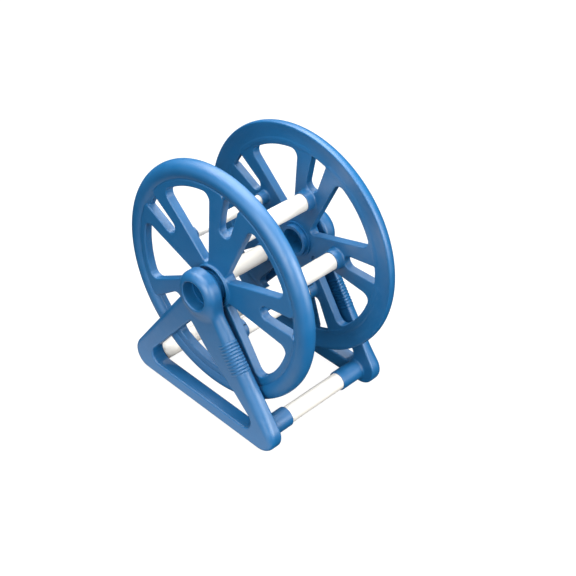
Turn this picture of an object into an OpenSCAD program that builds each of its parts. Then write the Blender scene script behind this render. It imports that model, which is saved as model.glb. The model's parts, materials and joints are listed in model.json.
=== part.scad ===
// Free-standing hose reel: two open wheels joined by five drum tubes, turning on
// hollow hub axles in two A-shaped stands that are tied by two base tubes.
// The reel turns about X. Front is -Y, up is +Z, the floor is at z = 0.

/* [Wheels] */
// Radius of the wheel at its inner lip
wheel_r = 300; // [290:1:310]
// Height of the reel axis above the floor
axis_h = 353; // [345:1:365]
// Distance from the middle plane to the inner lip of each wheel
lip_x = 122; // [115:1:135]
// Radius of the rounded roll round the rim
roll_r = 24; // [20:1:26]
// Thickness of the flat web and spokes
web_t = 22; // [18:1:24]
// Turn of the first spoke, from the rear horizontal upwards
spoke_turn = 103; // [95:1:110]
// Depth of the shallow groove on the inner face of the rim
groove_d = 3; // [1:0.5:4]
// Radius of the hollow that forms the groove
groove_r = 90; // [80:5:110]

/* [Hubs] */
// Radius of the raised hub ring that faces the stand
hub_ring_r = 54; // [50:1:58]
// Outer radius of the hollow axle where it passes through the hub
axle_r = 40; // [38:1:42]
// Outer radius of the axle's journal that runs in the stand
journal_r = 36; // [33:1:37]
// Wall of the journal
axle_wall = 4; // [3:1:6]
// Radial running clearance of the axle in the stand
axle_gap = 0.05; // [0.02:0.01:0.1]

/* [Tubes] */
// Outer radius of the drum tubes and base tubes
tube_r = 22; // [20:1:23]
// Outer radius of the thin tube, the last one of the drum
thin_tube_r = 13; // [11:1:16]
// Wall of the tubes
tube_wall = 2.5; // [2:0.5:4]
// Radius of the circle that the drum tubes stand on
drum_r = 131; // [128:1:134]
// Length of the collar round each end of a drum tube
collar_l = 23; // [15:1:30]
// Wall of the collars and sockets round the tubes
socket_wall = 2.5; // [2:0.5:4]
// Length of the sockets of the front base tube, from the stand's inner face
socket_l = 70; // [55:1:85]
// Distance of each base tube from the middle, along Y
base_tube_y = 191; // [180:1:195]
// Height of the base tubes' centre lines
base_tube_z = 34; // [33:1:38]
// Depth that the base tubes' ends sit in the stands
tube_seat = 16; // [10:1:24]

/* [Stands] */
// Thickness of the stand's frame
stand_t = 38; // [34:1:40]
// Gap between a wheel's hub ring and the stand
hub_gap = 4; // [2:0.5:6]
// Radius of the round boss at the top of the stand
boss_r = 58; // [57:1:64]
// Set-back of the stand's inner face at the boss; it leans there from the foot
lean = 10; // [4:1:12]
// Height of the domed boss above the outer face of the stand
dome_h = 14; // [8:1:18]
// Radius of the rounded shoulder of the boss
boss_round = 18; // [12:1:19]
// Radius of the stand's lower corners
foot_r = 45; // [38:1:48]
// Distance of the lower corners' centres from the middle, along Y
foot_y = 201; // [195:1:205]

/* [Grip] */
// Number of ribs on each front leg
rib_count = 11; // [5:1:11]
// Spacing of the ribs along the leg
rib_pitch = 8; // [7:0.5:10]
// Radius of each half-round rib
rib_r = 3; // [2:0.5:3.5]
// Distance of the ribs' ends from the faces of the leg
rib_inset = 3; // [2:1:6]

/* [Hidden] */
$fn = 96;
spokes = 5;
step = 360 / spokes;
half_step = step / 2;
eps = 1;
side_sink = 0.01;

// planes of the right-hand half, counted outwards along X from the middle
web_in = lip_x + 5;
web_out = web_in + web_t;
roll_x = lip_x + 8;
roll_out = roll_x + roll_r;
roll_c = wheel_r - roll_r + 2;
groove_c = roll_c - 5;
hub_face = roll_out + 2;
stand_in = hub_face + hub_gap;
stand_out = stand_in + stand_t;
boss_face = stand_out + dome_h;

// rim and windows, in the plane of the wheel
rim_in = 242.5;
web_edge = rim_in + 20;
window_apex = [67.5, 0, 9];
window_corner = [214, 53, 22];
slot_start = 174;
slot_end = 250;
slot_half = [18, 23];

// flat joints between hub, spokes and rim
hub_flat = 55;
spoke_end = 218;
web_start = spoke_end - 8;
spoke_half = 83;

// axle
axle_in = lip_x - 11;
axle_out = stand_out - 16;
flange_r = axle_r + 6;
flange_t = 5;

// tubes
socket_r = tube_r + socket_wall;
drum_half = web_in - 1;
base_half = stand_in + tube_seat;

// stand's opening: [y, z, corner radius], anticlockwise
opening = [[-149.4, 69, 27], [149.4, 69, 27], [27, 250, 8], [-30, 202, 0]];
leg_top_r = 29;
outline = [[-foot_y, foot_r, foot_r], [foot_y, foot_r, foot_r], [0, axis_h, leg_top_r]];

// front leg's outer edge, from the foot up to the hub
leg_n = side_normal(outline[2], outline[0]);
rib_first = 131;

// heights between which the stand's inner face leans outwards
lean_z = [60, 300];

plastic = [0.16, 0.46, 0.74];
pvc = [0.95, 0.94, 0.91];
axle_blue = [0.10, 0.33, 0.60];

// outer radius of drum tube i
function drum_tube_r(i) = i == spokes ? thin_tube_r : tube_r;

// ---- rounded outlines: corners are [x, y, radius], anticlockwise ----

// direction of the outward normal of the tangent line from corner a to corner b
function side_normal(a, b) =
    let (d = [b[0] - a[0], b[1] - a[1]])
    atan2(d[1], d[0]) - 90 - asin((b[2] - a[2]) / norm(d));

// the sides end just inside the corner circles, so that they cross without a sliver
function on_corner(c, n) =
    let (r = max(0, c[2] - side_sink))
    [c[0] + r * cos(n), c[1] + r * sin(n)];

function tangent_points(cs) = [
    for (i = [0 : len(cs) - 1])
        let (before = cs[(i + len(cs) - 1) % len(cs)], after = cs[(i + 1) % len(cs)])
        each [on_corner(cs[i], side_normal(before, cs[i])), on_corner(cs[i], side_normal(cs[i], after))]
];

module rounded_outline(cs) {
    polygon(tangent_points(cs));
    for (c = cs) {
        if (c[2] > 0) {
            translate([c[0], c[1]]) circle(r = c[2]);
        }
    }
}

// lays a drawing of the Y-Z plane at x, as a slab t thick
module slab(x, t) {
    translate([x, 0, 0]) rotate([90, 0, 90]) linear_extrude(t) children();
}

// a solid of revolution about X, from a drawing with [radius, x]
module turned() {
    rotate([0, 90, 0]) rotate_extrude($fn = 180) children();
}

module x_cylinder(r, x0, x1) {
    translate([x0, 0, 0]) rotate([0, 90, 0]) cylinder(r = r, h = x1 - x0);
}

// the reel's parts are drawn round the axis and lifted to its height
module on_axis(side) {
    translate([0, 0, axis_h]) mirror([side < 0 ? 1 : 0, 0, 0]) children();
}

// ---- wheel ----

// half section of the rim: roll outside, flat lip inside, thin web towards the hub
module rim_section() {
    difference() {
        union() {
            intersection() {
                translate([roll_c, roll_x]) circle(r = roll_r);
                translate([0, lip_x]) square([2 * wheel_r, 2 * roll_r]);
            }
            translate([web_start, web_in]) square([web_edge - web_start, web_t]);
        }
        translate([groove_c, lip_x + groove_d - groove_r]) circle(r = groove_r, $fn = 360);
    }
}

module window() {
    corners = [
        [window_apex[0], 0, window_apex[2]],
        [window_corner[0], -window_corner[1], window_corner[2]],
        [window_corner[0], window_corner[1], window_corner[2]]
    ];
    rounded_outline(corners);
    intersection() {
        circle(r = rim_in, $fn = 180);
        translate([window_corner[0], -window_corner[1]]) square([60, 2 * window_corner[1]]);
    }
}

module windows() {
    for (i = [0 : spokes - 1]) {
        rotate(spoke_turn + half_step + i * step) window();
    }
}

module slot() {
    translate([slot_start, 0]) circle(r = slot_half[0]);
    polygon([
        [slot_start, -slot_half[0]], [slot_end, -slot_half[1]],
        [slot_end, slot_half[1]], [slot_start, slot_half[0]]
    ]);
}

// the share of the web that belongs to one spoke
module spoke_share() {
    polygon([
        [hub_flat, -hub_flat * tan(half_step)], [spoke_half / tan(half_step), -spoke_half],
        [spoke_end, -spoke_half], [spoke_end, spoke_half],
        [spoke_half / tan(half_step), spoke_half], [hub_flat, hub_flat * tan(half_step)]
    ]);
}

module hub_share() {
    rotate(spoke_turn + half_step) circle(r = hub_flat / cos(half_step), $fn = spokes);
}

module rim(side) {
    color(plastic) on_axis(side) difference() {
        turned() rim_section();
        slab(lip_x - eps, 2 * roll_r) {
            windows();
            for (i = [0 : spokes - 1]) {
                rotate(spoke_turn + i * step) {
                    spoke_share();
                    slot();
                }
            }
        }
    }
}

module spoke(side, i) {
    turn = spoke_turn + (i - 1) * step;
    color(plastic) on_axis(side) difference() {
        union() {
            slab(web_in, web_t) rotate(turn) difference() {
                spoke_share();
                slot();
            }
            rotate([turn, 0, 0]) translate([0, drum_r, 0])
                x_cylinder(drum_tube_r(i) + socket_wall, web_in - collar_l, web_in + eps);
        }
        slab(web_in - eps, web_t + 2 * eps) windows();
        rotate([turn, 0, 0]) translate([0, drum_r, 0])
            x_cylinder(drum_tube_r(i), web_in - collar_l - eps, drum_half);
    }
}

module hub(side) {
    color(plastic) on_axis(side) difference() {
        union() {
            slab(web_in, web_t) difference() {
                hub_share();
                windows();
            }
            x_cylinder(hub_ring_r, web_out - eps, hub_face);
        }
        x_cylinder(axle_r, web_in - eps, hub_face + eps);
    }
}

// hollow axle: pushed through the hub from inside, its journal turns in the stand's bore
module axle(side) {
    color(axle_blue) on_axis(side) difference() {
        union() {
            x_cylinder(axle_r, axle_in, hub_face);
            x_cylinder(journal_r, hub_face - eps, axle_out);
            x_cylinder(flange_r, web_in - flange_t, web_in);
        }
        x_cylinder(journal_r - axle_wall, axle_in - eps, axle_out + eps);
    }
}

// ---- tubes ----

module tube(r, half) {
    color(pvc) difference() {
        x_cylinder(r, -half, half);
        x_cylinder(r - tube_wall, -half - eps, half + eps);
    }
}

module drum_tube(i) {
    translate([0, 0, axis_h]) rotate([spoke_turn + (i - 1) * step, 0, 0])
        translate([0, drum_r, 0]) tube(drum_tube_r(i), drum_half);
}

module base_tube(side) {
    translate([0, side * base_tube_y, base_tube_z]) tube(tube_r, base_half);
}

// ---- stand ----

// domed boss: a straight side, a round shoulder and a flat face round the bore
module boss() {
    boss_in = stand_in + lean;
    turned() {
        translate([0, boss_in]) square([boss_r, boss_face - boss_round - boss_in]);
        translate([0, boss_in]) square([boss_r - boss_round, boss_face - boss_in]);
        translate([boss_r - boss_round, boss_face - boss_round]) intersection() {
            circle(r = boss_round);
            square(2 * boss_round);
        }
    }
}

module grip_ribs() {
    for (i = [0 : rib_count - 1]) {
        along = rib_first + i * rib_pitch;
        rotate([leg_n, 0, 0]) translate([0, leg_top_r - rib_r / 2, along])
            x_cylinder(rib_r, stand_in + lean + rib_inset, stand_out - rib_inset);
    }
}

// only the front base tube has a long socket, the rear one goes straight into the frame
module front_socket() {
    translate([0, -base_tube_y, base_tube_z])
        x_cylinder(socket_r, stand_in - socket_l, stand_in + eps);
}

// the room beside the wheel that the leaning inner face leaves free
module lean_cut() {
    translate([0, 2 * foot_y, 0]) rotate([90, 0, 0]) linear_extrude(4 * foot_y) polygon([
        [stand_in - eps, lean_z[0]], [stand_in, lean_z[0]], [stand_in + lean, lean_z[1]],
        [stand_in + lean, 2 * axis_h], [stand_in - eps, 2 * axis_h]
    ]);
}

module stand(side) {
    color(plastic) mirror([side < 0 ? 1 : 0, 0, 0]) difference() {
        union() {
            slab(stand_in, stand_t) difference() {
                rounded_outline(outline);
                rounded_outline(opening);
            }
            translate([0, 0, axis_h]) boss();
            translate([0, 0, axis_h]) grip_ribs();
            front_socket();
        }
        lean_cut();
        translate([0, 0, axis_h]) x_cylinder(journal_r + axle_gap, stand_in - eps, boss_face + eps);
        for (s = [-1, 1]) {
            translate([0, s * base_tube_y, base_tube_z])
                x_cylinder(tube_r, stand_in - socket_l - eps, base_half);
        }
    }
}

rim(-1);  // rim_left
rim(1);  // rim_right
hub(-1);  // hub_left
hub(1);  // hub_right
spoke(-1, 1);  // spoke_left_1
spoke(-1, 2);  // spoke_left_2
spoke(-1, 3);  // spoke_left_3
spoke(-1, 4);  // spoke_left_4
spoke(-1, 5);  // spoke_left_5
spoke(1, 1);  // spoke_right_1
spoke(1, 2);  // spoke_right_2
spoke(1, 3);  // spoke_right_3
spoke(1, 4);  // spoke_right_4
spoke(1, 5);  // spoke_right_5
axle(-1);  // axle_left
axle(1);  // axle_right
drum_tube(1);  // drum_tube_1
drum_tube(2);  // drum_tube_2
drum_tube(3);  // drum_tube_3
drum_tube(4);  // drum_tube_4
drum_tube(5);  // drum_tube_5
stand(-1);  // stand_left
stand(1);  // stand_right
base_tube(-1);  // base_tube_front
base_tube(1);  // base_tube_rear
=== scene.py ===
"""Looks of the hose reel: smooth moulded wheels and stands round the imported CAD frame."""

import json
import math

import bpy
import numpy as np
from mathutils import Matrix, Vector


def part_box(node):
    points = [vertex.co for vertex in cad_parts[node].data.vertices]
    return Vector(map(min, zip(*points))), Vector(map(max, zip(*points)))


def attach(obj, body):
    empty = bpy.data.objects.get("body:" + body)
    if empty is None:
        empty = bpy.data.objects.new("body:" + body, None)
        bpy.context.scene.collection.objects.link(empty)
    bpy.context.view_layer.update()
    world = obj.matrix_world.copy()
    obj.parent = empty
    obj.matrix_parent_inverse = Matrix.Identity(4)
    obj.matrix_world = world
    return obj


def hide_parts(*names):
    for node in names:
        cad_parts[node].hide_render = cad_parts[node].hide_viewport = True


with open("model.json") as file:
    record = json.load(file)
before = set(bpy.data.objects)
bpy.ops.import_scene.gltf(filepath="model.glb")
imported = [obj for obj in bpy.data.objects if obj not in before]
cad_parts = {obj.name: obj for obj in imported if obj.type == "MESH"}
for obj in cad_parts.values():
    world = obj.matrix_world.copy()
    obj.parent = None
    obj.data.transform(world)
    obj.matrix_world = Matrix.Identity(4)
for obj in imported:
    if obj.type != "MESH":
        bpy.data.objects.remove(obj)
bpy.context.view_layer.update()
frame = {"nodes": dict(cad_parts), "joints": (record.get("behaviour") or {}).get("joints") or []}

MM = 0.001

# ---- main sizes, in millimetres, read from the frame ----

AXIS_Z = frame["joints"][0]["pos_m"][2] / MM
RIM_LOW, RIM_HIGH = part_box("rim_right")
HUB_LOW, HUB_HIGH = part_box("hub_right")
SPOKE_LOW, SPOKE_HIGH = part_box("spoke_right_1")
STAND_LOW, STAND_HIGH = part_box("stand_right")
TUBE_LOW, TUBE_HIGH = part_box("base_tube_rear")

LIP_X = RIM_LOW[0] / MM
RIM_FACE = RIM_HIGH[0] / MM
RIM_R = (RIM_HIGH[2] - RIM_LOW[2]) / MM / 2
WEB_IN = HUB_LOW[0] / MM
HUB_FACE = HUB_HIGH[0] / MM
WEB_OUT = SPOKE_HIGH[0] / MM
COLLAR_END = SPOKE_LOW[0] / MM
SOCKET_END = STAND_LOW[0] / MM
BOSS_FACE = STAND_HIGH[0] / MM
BASE_Y = (TUBE_LOW[1] + TUBE_HIGH[1]) / MM / 2
BASE_Z = (TUBE_LOW[2] + TUBE_HIGH[2]) / MM / 2
TUBE_R = (TUBE_HIGH[2] - TUBE_LOW[2]) / MM / 2
TUBE_END = TUBE_HIGH[0] / MM
THIN_LOW, THIN_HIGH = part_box("drum_tube_5")
THIN_R = (THIN_HIGH[2] - THIN_LOW[2]) / MM / 2

# ---- sizes of the moulded shapes, in millimetres ----
# an _EDGE is the rounding of an outer edge, a pair of them the inner and the outer one,
# and a _FILLET is the width over which one shape flows into the next

FIT = 0.05
MOUTH_EDGE = 0.8
OVERLAP = 2

# wheels
SPOKE_TURN = math.radians(103)
STEP = math.radians(72)
ROLL_R = 24
ROLL_C = RIM_R - ROLL_R
ROLL_X = RIM_FACE - ROLL_R
ROLL_FILLET = 9
LIP_EDGE = 2.5
FLOOR_EDGE = 2
RIM_IN = 242.5
APEX_U = 67.5
APEX_ROUND = 9
SIDE_ANGLE = math.radians(24.7)
CORNER_ROUND = 22
PETAL_R = 260
PETAL_ROUND = 14
WEB_RISE = 0.5
WEB_EDGES = (2.5, 4)
WEB_FILLET = 3
GROOVE_DEPTH = 7
DISH_R = 118
DISH_C = 262
DISH_EDGE = 1.5
SLOT_U = 174
SLOT_END = 250
SLOT_HALF = 18
SLOT_TAPER = 5 / 76
HUB_RING = (49, 54)
RING_EDGES = (1, 2.2)
RING_FILLET = 4
AXLE_R = 40
AXLE_EDGE = 1
DRUM_R = 131
THIN_TURN = SPOKE_TURN + 4 * STEP
TUBE_GAP = 1
SOCKET_WALL = 3.5
COLLAR_EDGES = (1, 0.5)
COLLAR_FILLET = 5

# stands
JOURNAL_R = 36
JOURNAL_EDGE = 3
STAND_IN = 160
STAND_OUT = 198
FOOT = (201, 45, 45)
LEG_TOP_R = 29
INNER_EDGE = 4
OUTER_EDGE = 16
FRONT_LEG_EDGE = 25
FRONT_LEG_Y = (20, 80)
FRONT_LEG_Z = (40, 100)
OPENING = [(-149.4, 69, 27), (149.4, 69, 27), (27, 250, 8)]
OPENING_EDGES = (3, 5)
LEG_SWELL = 6.5
SWELL_AT = (-30, 202)
SWELL_REACH = 60
BOSS_R = 58
BOSS_EDGES = (8, 20)
BOSS_FILLET = 20
SOCKET_ROOT = 8
SOCKET_EDGES = (1.5, 0.5)
SOCKET_FILLET = 6
LEAN = 10
LEAN_Z = (60, 300)
GRIP_TURN = math.radians(7)
GRIP_FIRST = 131
GRIP_LAST = 211
GRIP_PITCH = 8
GRIP_WIDTH = 40
GRIP_SIDE_FADE = 6
GRIP_END_FADE = 2
RIB_HEIGHT = 2.3
RIB_SINK = 0.8


# ---- fields: signed distances in millimetres, negative inside ----


def round_and(a, b, radius):
    """Both solids, with the edge between them rounded."""
    a, b = a + radius, b + radius
    outside = np.hypot(np.maximum(a, 0), np.maximum(b, 0))
    return np.minimum(np.maximum(a, b), 0) + outside - radius


def soft_or(a, b, width):
    """Either solid, with a fillet where they meet."""
    h = np.clip(0.5 + 0.5 * (b - a) / width, 0, 1)
    return b + (a - b) * h - width * h * (1 - h)


def fade(value, start, end):
    """0 up to start, 1 from end on, and straight between them."""
    return np.clip((value - start) / (end - start), 0, 1)


def slab(outline, x, low, high, edge_low, edge_high):
    """An outline of the Y-Z plane from x = low to high, with rounded edges."""
    lower = round_and(outline, low - x, edge_low)
    upper = round_and(outline, x - high, edge_high)
    return np.maximum(lower, upper)


def folded(y, z, turn):
    """Coordinates along and across the nearest of five rays, the first one at turn."""
    angle = (np.arctan2(z, y) - turn + STEP / 2) % STEP - STEP / 2
    r = np.hypot(y, z)
    return r * np.cos(angle), r * np.sin(angle)


def window_field(y, z):
    """The opening between two spokes: a rounded wedge closed by the rim."""
    u, v = folded(y, z, SPOKE_TURN + STEP / 2)
    v = np.abs(v)
    along = (u - APEX_U) * math.cos(SIDE_ANGLE) + v * math.sin(SIDE_ANGLE)
    across = v * math.cos(SIDE_ANGLE) - (u - APEX_U) * math.sin(SIDE_ANGLE)
    side = np.where(along < 0, np.hypot(u - APEX_U, v), across) - APEX_ROUND
    return round_and(side, np.hypot(u, v) - RIM_IN, CORNER_ROUND)


def slot_field(y, z):
    """The slot in a spoke, from its round inner end outwards without an outer end."""
    u, v = folded(y, z, SPOKE_TURN)
    v = np.abs(v)
    round_end = np.hypot(u - SLOT_U, v) - SLOT_HALF
    side = v - SLOT_HALF - (u - SLOT_U) * SLOT_TAPER
    return np.where(u < SLOT_U, round_end, side)


def rim_field(x, r):
    """The rim: a rounded roll outside, a shallow dish inside, a floor towards the web."""
    roll = round_and(np.hypot(r - ROLL_C, x - ROLL_X) - ROLL_R, LIP_X - x, LIP_EDGE)
    floor_ring = np.abs(r - (SLOT_END + ROLL_C) / 2) - (ROLL_C - SLOT_END) / 2
    floor = round_and(floor_ring, x - (WEB_OUT - GROOVE_DEPTH), FLOOR_EDGE)
    dish = np.where(r > DISH_C, DISH_R - np.hypot(r - DISH_C, x - (WEB_IN - DISH_R)), WEB_IN - x)
    return round_and(soft_or(roll, floor, ROLL_FILLET), dish, DISH_EDGE)


def wheel_field(x, y, z):
    """One wheel, on the right-hand side, with the reel's axis at y = z = 0."""
    r = np.hypot(y, z)
    window = window_field(y, z)
    petals = round_and(r - PETAL_R, -slot_field(y, z), PETAL_ROUND)
    web = slab(np.maximum(petals, -window), x, WEB_IN, WEB_OUT + WEB_RISE, *WEB_EDGES)
    wheel = soft_or(web, rim_field(x, r), WEB_FILLET)
    ring_mid, ring_half = sum(HUB_RING) / 2, (HUB_RING[1] - HUB_RING[0]) / 2
    ring = slab(np.abs(r - ring_mid) - ring_half, x, WEB_IN + OVERLAP, HUB_FACE, *RING_EDGES)
    wheel = soft_or(wheel, ring, RING_FILLET)
    u, v = folded(y, z, SPOKE_TURN)
    from_tube = np.hypot(u - DRUM_R, v)
    thin = np.cos(np.arctan2(z, y) - THIN_TURN) > math.cos(STEP / 2)
    from_tube = from_tube - np.where(thin, THIN_R, TUBE_R)
    collar = slab(from_tube - SOCKET_WALL, x, COLLAR_END, WEB_IN + OVERLAP, *COLLAR_EDGES)
    wheel = soft_or(wheel, collar, COLLAR_FILLET)
    tube_hole = np.maximum(from_tube - FIT, x - WEB_IN + TUBE_GAP)
    wheel = round_and(wheel, -tube_hole, MOUTH_EDGE)
    return round_and(wheel, AXLE_R + FIT - r, AXLE_EDGE)


def outline_field(y, z, corners):
    """A convex outline through rounded corners (y, z, radius), anticlockwise."""
    count = len(corners)
    normals = []
    field = None
    for i, (ay, az, ar) in enumerate(corners):
        by, bz, br = corners[(i + 1) % count]
        heading = math.atan2(bz - az, by - ay)
        normal = heading - math.pi / 2 - math.asin((br - ar) / math.hypot(by - ay, bz - az))
        normals.append(normal)
        side = (y - ay) * math.cos(normal) + (z - az) * math.sin(normal) - ar
        field = side if field is None else np.maximum(field, side)
    for i, (cy, cz, cr) in enumerate(corners):
        first, last = normals[i - 1], normals[i]
        after = (y - cy) * -math.sin(first) + (z - cz) * math.cos(first)
        before = (y - cy) * -math.sin(last) + (z - cz) * math.cos(last)
        field = np.where((after > 0) & (before < 0), np.hypot(y - cy, z - cz) - cr, field)
    return field


def grip_field(y, z, outline):
    """How far the ribs of the grip stand out of the front leg's outer edge."""
    heading = math.atan2(FOOT[1] - AXIS_Z, -FOOT[0]) - GRIP_TURN
    along = y * math.cos(heading) + (z - AXIS_Z) * math.sin(heading)
    middle, half = (GRIP_FIRST + GRIP_LAST) / 2, (GRIP_LAST - GRIP_FIRST) / 2
    ends = fade(half - np.abs(along - middle), -GRIP_END_FADE, GRIP_END_FADE)
    edge = fade(outline, -GRIP_WIDTH, GRIP_SIDE_FADE - GRIP_WIDTH) * (y < 0)
    wave = np.abs(np.sin(math.pi * (along - GRIP_FIRST) / GRIP_PITCH))
    return (RIB_HEIGHT * wave - RIB_SINK) * ends * edge


def stand_field(x, y, z):
    """One stand, on the right-hand side, with the floor at z = 0."""
    foot_y, foot_z, foot_r = FOOT
    outer = [(-foot_y, foot_z, foot_r), (foot_y, foot_z, foot_r), (0, AXIS_Z, LEG_TOP_R)]
    outline = outline_field(y, z, outer)
    from_swell = np.hypot(y - SWELL_AT[0], z - SWELL_AT[1])
    opening = outline_field(y, z, OPENING) + LEG_SWELL * np.exp(-((from_swell / SWELL_REACH) ** 2))
    inner = STAND_IN + LEAN * fade(z, *LEAN_Z)
    front_leg = fade(-y, *FRONT_LEG_Y) * fade(z, *FRONT_LEG_Z)
    outer_edge = OUTER_EDGE + (FRONT_LEG_EDGE - OUTER_EDGE) * front_leg
    frame_slab = slab(outline, x, inner, STAND_OUT, INNER_EDGE, outer_edge)
    r = np.hypot(y, z - AXIS_Z)
    boss = slab(r - BOSS_R, x, inner, BOSS_FACE, *BOSS_EDGES)
    stand = soft_or(frame_slab, boss, BOSS_FILLET)
    inner_rim = round_and(-opening, inner - x, OPENING_EDGES[0])
    outer_rim = round_and(stand, -opening, OPENING_EDGES[1])
    stand = np.maximum(stand, np.maximum(outer_rim, inner_rim))
    stand = stand - grip_field(y, z, outline)
    from_tube = np.hypot(np.abs(y) - BASE_Y, z - BASE_Z)
    socket = from_tube - TUBE_R - SOCKET_WALL
    socket = slab(socket, x, SOCKET_END, STAND_IN + SOCKET_ROOT, *SOCKET_EDGES)
    stand = soft_or(stand, np.maximum(socket, y), SOCKET_FILLET)
    tube_hole = np.maximum(from_tube - TUBE_R - FIT, x - TUBE_END)
    stand = round_and(stand, -tube_hole, MOUTH_EDGE)
    return round_and(stand, JOURNAL_R + FIT - r, JOURNAL_EDGE)


# ---- from a field to a mesh ----

CUBE = [(i, j, k) for i in (0, 1) for j in (0, 1) for k in (0, 1)]
WHEEL_GRID = 2.6
STAND_GRID = 2.0
MARGIN = 4
RIM_MARGIN = 3
OUTLINE_MARGIN = 6
NORMAL_REACH = 0.2
SNAPS = 3


def shifted(grid, offset):
    """The grid at one corner of every cell."""
    i, j, k = offset
    nx, ny, nz = grid.shape
    return grid[i : nx - 1 + i, j : ny - 1 + j, k : nz - 1 + k]


def net_points(values, cells, low, step):
    """For each cell, the mean of the points where its edges cross the surface."""
    total = np.zeros((len(cells), 3))
    count = np.zeros(len(cells))
    for axis in range(3):
        unit = np.eye(3, dtype=int)[axis]
        for corner in (np.array(c) for c in CUBE if c[axis] == 0):
            start = values[tuple((cells + corner).T)]
            end = values[tuple((cells + corner + unit).T)]
            crosses = (start < 0) != (end < 0)
            share = np.where(crosses, start / np.where(crosses, start - end, 1), 0)
            total += np.where(crosses[:, None], corner + share[:, None] * unit, 0)
            count += crosses
    return low + step * (cells + total / count[:, None])


def net_faces(inside, index):
    """A quad round every grid edge that crosses the surface, facing outwards."""
    faces = []
    for axis in range(3):
        u, v = (axis + 1) % 3, (axis + 2) % 3
        start = np.moveaxis(inside, axis, 0)[:-1]
        end = np.moveaxis(inside, axis, 0)[1:]
        for leaves in (True, False):
            hits = np.argwhere((start != end) & (start == leaves))
            edge = np.empty_like(hits)
            others = [a for a in range(3) if a != axis]
            edge[:, axis] = hits[:, 0]
            edge[:, others[0]] = hits[:, 1]
            edge[:, others[1]] = hits[:, 2]
            ring = []
            for du, dv in ((0, 0), (-1, 0), (-1, -1), (0, -1)):
                cell = edge.copy()
                cell[:, u] += du
                cell[:, v] += dv
                ring.append(index[tuple(cell.T)])
            faces.append(np.stack(ring if leaves else ring[::-1], 1))
    return np.concatenate(faces)


def gradient(field, points):
    """Direction in which the field grows, at each point."""
    sides = []
    for axis in range(3):
        move = np.eye(3)[axis] * NORMAL_REACH
        sides.append(field(*(points + move).T) - field(*(points - move).T))
    grown = np.stack(sides, 1) / (2 * NORMAL_REACH)
    return grown / np.maximum(np.linalg.norm(grown, axis=1, keepdims=True), 1e-6)


def surface(field, low, high, step):
    """Points, quads and normals of the field's surface inside a box."""
    low, high = np.array(low, float), np.array(high, float)
    counts = np.ceil((high - low) / step).astype(int) + 1
    x, y, z = (low[a] + step * np.arange(counts[a]) for a in range(3))
    values = field(x[:, None, None], y[None, :, None], z[None, None, :])
    inside = values < 0
    corners = sum(shifted(inside, c).astype(np.int8) for c in CUBE)
    cells = np.argwhere((corners > 0) & (corners < len(CUBE)))
    index = np.full(inside.shape, -1)
    index[tuple(cells.T)] = np.arange(len(cells))
    points = net_points(values, cells, low, step)
    for _ in range(SNAPS):
        normals = gradient(field, points)
        distance = field(*points.T)[:, None]
        points = points - normals * np.clip(distance, -step / 2, step / 2)
    return points, net_faces(inside, index), gradient(field, points)


def add_piece(name, points, faces, normals, side, lift, body, replaced):
    """A smooth mesh made from a right-hand shape, mirrored for the left-hand side."""
    turn = np.array([side, 1, 1])
    points = (points * turn + [0, 0, lift]) * MM
    faces = faces if side > 0 else faces[:, ::-1]
    mesh = bpy.data.meshes.new(name)
    mesh.from_pydata(points.tolist(), [], faces.tolist())
    mesh.polygons.foreach_set("use_smooth", [True] * len(mesh.polygons))
    mesh.normals_split_custom_set_from_vertices((normals * turn).tolist())
    piece = bpy.data.objects.new(name, mesh)
    bpy.context.scene.collection.objects.link(piece)
    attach(piece, body)
    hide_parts(*replaced)
    return piece


def add_pair(name, field, low, high, step, lift, body, nodes):
    """The right-hand piece and its mirror image."""
    points, faces, normals = surface(field, low, high, step)
    pair = []
    for side, word in ((-1, "left"), (1, "right")):
        replaced = [n.format(word) for n in nodes]
        piece_name = f"{name}_{word}"
        pair.append(add_piece(piece_name, points, faces, normals, side, lift, body, replaced))
    return pair


# ---- materials ----

# the two ends of each slow colour drift
BLUE = ((0.0012, 0.093, 0.25), (0.002, 0.106, 0.275))
# the axles are the wheels' blue plastic made a shade darker: painted shade for the shaded hub
AXLE_BLUE_PAINTED_SHADE = ((0.001, 0.088, 0.245), (0.002, 0.1, 0.27))
PIPE_WHITE = ((0.75, 0.72, 0.66), (0.79, 0.76, 0.70))
FLOOR_GREY = ((0.10, 0.10, 0.10), (0.12, 0.12, 0.12))

RAMP_ENDS = (0.3, 0.7)

# noise scales of the colour drift, the roughness drift, the slow waves and the grain
DRIFT_SCALE = 9
WEAR_SCALE = 38
WEAR = (-0.05, 0.06)
WAVE_SCALE = 45
GRAIN_SCALE = 1500
WAVE_STRENGTH = 0.15
WAVE_HEIGHT = 0.001
GRAIN_HEIGHT = 0.0003


def new_material(name):
    material = bpy.data.materials.new(name)
    material.use_nodes = True
    return material, material.node_tree.nodes, material.node_tree.links


def noise(nodes, links, coords, scale, detail):
    texture = nodes.new("ShaderNodeTexNoise")
    texture.inputs["Scale"].default_value = scale
    texture.inputs["Detail"].default_value = detail
    links.new(coords.outputs["Object"], texture.inputs["Vector"])
    return texture.outputs["Fac"]


def ramp(nodes, links, value, low, high):
    """A colour or grey that goes from low to high as the value does."""
    node = nodes.new("ShaderNodeValToRGB")
    for end, place, colour in zip(node.color_ramp.elements, RAMP_ENDS, (low, high)):
        end.position = place
        end.color = (*colour, 1)
    links.new(value, node.inputs["Fac"])
    return node.outputs["Color"]


def bump(nodes, links, height, strength, distance, before=None):
    node = nodes.new("ShaderNodeBump")
    node.inputs["Strength"].default_value = strength
    node.inputs["Distance"].default_value = distance
    links.new(height, node.inputs["Height"])
    if before is not None:
        links.new(before, node.inputs["Normal"])
    return node.outputs["Normal"]


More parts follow.
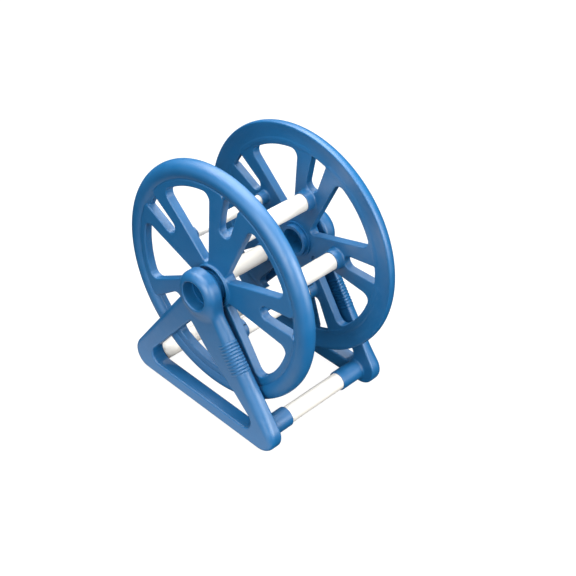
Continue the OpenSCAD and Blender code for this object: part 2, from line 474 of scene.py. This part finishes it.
def plastic(name, colours, rough, grain, gloss):
    """Moulded plastic: faint colour drift, a slow roughness drift and a fine surface grain."""
    material, nodes, links = new_material(name)
    shader = nodes["Principled BSDF"]
    coords = nodes.new("ShaderNodeTexCoord")
    drift = noise(nodes, links, coords, DRIFT_SCALE, 4)
    links.new(ramp(nodes, links, drift, *colours), shader.inputs["Base Color"])
    wear = noise(nodes, links, coords, WEAR_SCALE, 3)
    low, high = ((rough + change,) * 3 for change in WEAR)
    links.new(ramp(nodes, links, wear, low, high), shader.inputs["Roughness"])
    waves = noise(nodes, links, coords, WAVE_SCALE, 2)
    slow = bump(nodes, links, waves, WAVE_STRENGTH, WAVE_HEIGHT)
    specks = noise(nodes, links, coords, GRAIN_SCALE, 2)
    fine = bump(nodes, links, specks, grain, GRAIN_HEIGHT, slow)
    links.new(fine, shader.inputs["Normal"])
    shader.inputs["Specular IOR Level"].default_value = gloss
    return material


def dress(thing, material):
    thing.data.materials.clear()
    thing.data.materials.append(material)


# ---- stage ----

OBJECT_MIDDLE = (0, 0, 0.3)
FLOOR_SIZE = 14
FLOOR_Z = -0.0005


def add_floor():
    """A floor so pale that it merges with the white background; it lights nothing."""
    bpy.ops.mesh.primitive_plane_add(size=FLOOR_SIZE, location=(0, 0, FLOOR_Z))
    floor = bpy.context.object
    floor.name = "floor"
    material, nodes, links = new_material("pale_floor")
    shader = nodes["Principled BSDF"]
    coords = nodes.new("ShaderNodeTexCoord")
    drift = noise(nodes, links, coords, 3, 2)
    tone = ramp(nodes, links, drift, *FLOOR_GREY)
    links.new(tone, shader.inputs["Base Color"])
    shader.inputs["Emission Color"].default_value = (1, 1, 1, 1)
    shader.inputs["Emission Strength"].default_value = 0.95
    shader.inputs["Roughness"].default_value = 0.8
    shader.inputs["Specular IOR Level"].default_value = 0.1
    dress(floor, material)
    floor.visible_diffuse = False
    floor.visible_glossy = False


def add_sheet(name, place, tilt, size, strength, glossy):
    """A white sheet out of the camera's sight: it either lights the object or is mirrored in it."""
    bpy.ops.mesh.primitive_plane_add(size=1, location=place)
    sheet = bpy.context.object
    sheet.scale = (*size, 1)
    sheet.rotation_euler = (0, tilt, 0)
    sheet.name = name
    material, nodes, _ = new_material(name)
    shader = nodes["Principled BSDF"]
    shader.inputs["Base Color"].default_value = (0, 0, 0, 1)
    shader.inputs["Emission Color"].default_value = (1, 1, 1, 1)
    shader.inputs["Emission Strength"].default_value = strength
    dress(sheet, material)
    sheet.visible_camera = False
    sheet.visible_diffuse = not glossy
    sheet.visible_glossy = glossy
    sheet.visible_shadow = False


def add_light(name, place, size, power):
    """A square white lamp that points at the middle of the object."""
    light = bpy.data.lights.new(name, "AREA")
    light.shape = "SQUARE"
    light.size = size
    light.energy = power
    thing = bpy.data.objects.new(name, light)
    aim = Vector(OBJECT_MIDDLE) - Vector(place)
    thing.location = place
    thing.rotation_euler = aim.to_track_quat("-Z", "Y").to_euler()
    bpy.context.scene.collection.objects.link(thing)


def add_world(strength):
    world = bpy.data.worlds.new("studio")
    world.use_nodes = True
    sky = world.node_tree.nodes["Background"]
    sky.inputs["Color"].default_value = (1, 1, 1, 1)
    sky.inputs["Strength"].default_value = strength
    bpy.context.scene.world = world


# the view: angles in degrees, distances in metres, the lens in millimetres
CAMERA_AZIMUTH = -46.634
CAMERA_HEIGHT = 37.332
CAMERA_ROLL = 2.179
CAMERA_REACH = 2.7984
CAMERA_TARGET = (0.0321, -0.0654, 0.2868)
CAMERA_LENS = 73.14
SENSOR_WIDTH = 36


def add_camera():
    azimuth, height, roll = map(math.radians, (CAMERA_AZIMUTH, CAMERA_HEIGHT, CAMERA_ROLL))
    flat = math.cos(height)
    back = Vector((math.sin(azimuth) * flat, -math.cos(azimuth) * flat, math.sin(height)))
    level = (-back).cross(Vector((0, 0, 1))).normalized()
    upright = level.cross(-back)
    right = level * math.cos(roll) + upright * math.sin(roll)
    up = upright * math.cos(roll) - level * math.sin(roll)
    lens = bpy.data.cameras.new("camera")
    lens.lens = CAMERA_LENS
    lens.sensor_width = SENSOR_WIDTH
    camera = bpy.data.objects.new("camera", lens)
    place = Matrix((right, up, back)).transposed().to_4x4()
    place.translation = Vector(CAMERA_TARGET) + back * CAMERA_REACH
    camera.matrix_world = place
    bpy.context.scene.collection.objects.link(camera)
    bpy.context.scene.camera = camera


# ---- build ----


def main():
    add_camera()
    edge = RIM_R + RIM_MARGIN
    wheel_nodes = ["rim_{}", "hub_{}"] + [f"spoke_{{}}_{i}" for i in range(1, 6)]
    wheels = add_pair(
        "wheel",
        wheel_field,
        (COLLAR_END - MARGIN, -edge, -edge),
        (HUB_FACE + MARGIN, edge, edge),
        WHEEL_GRID,
        AXIS_Z,
        "reel",
        wheel_nodes,
    )
    reach = FOOT[0] + FOOT[2] + OUTLINE_MARGIN
    stands = add_pair(
        "stand_frame",
        stand_field,
        (SOCKET_END - MARGIN, -reach, -MARGIN),
        (BOSS_FACE + MARGIN, reach, AXIS_Z + BOSS_R + OUTLINE_MARGIN),
        STAND_GRID,
        0,
        "stand",
        ["stand_{}"],
    )
    blue = plastic("blue_moulded_plastic", BLUE, rough=0.44, grain=0.2, gloss=0.9)
    # the axles' plastic is the wheels' blue a shade darker, as painted shade for the hub
    axle_blue_painted_shade = plastic("axle_plastic", AXLE_BLUE_PAINTED_SHADE, rough=0.45, grain=0.2, gloss=0.6)
    white = plastic("white_pipe", PIPE_WHITE, rough=0.34, grain=0.08, gloss=0.5)
    for piece in wheels + stands:
        dress(piece, blue)
    for name, node in frame["nodes"].items():
        if name.startswith("axle"):
            dress(node, axle_blue_painted_shade)
        elif "tube" in name:
            dress(node, white)
    add_floor()
    add_sheet("bounce_sheet", (-0.37, 0.02, -0.002), 0, (0.34, 0.85), 2.2, False)
    add_sheet("mirrored_sheet", (-0.31, 0.06, -0.002), 0, (0.22, 0.7), 0.6, True)
    add_sheet("mirrored_wall", (-2.4, 0.15, 1.0), math.pi / 2, (1.2, 3.5), 1.8, True)
    add_world(0.03)
    add_light("top", (0.2, 0.6, 2.6), 3.2, 192)
    add_light("front", (0.4, -2.9, 1.6), 2.2, 130)
    add_light("side", (-2.5, -1.2, 1.6), 1.5, 78)
    bpy.context.scene.view_settings.view_transform = "Standard"


main()
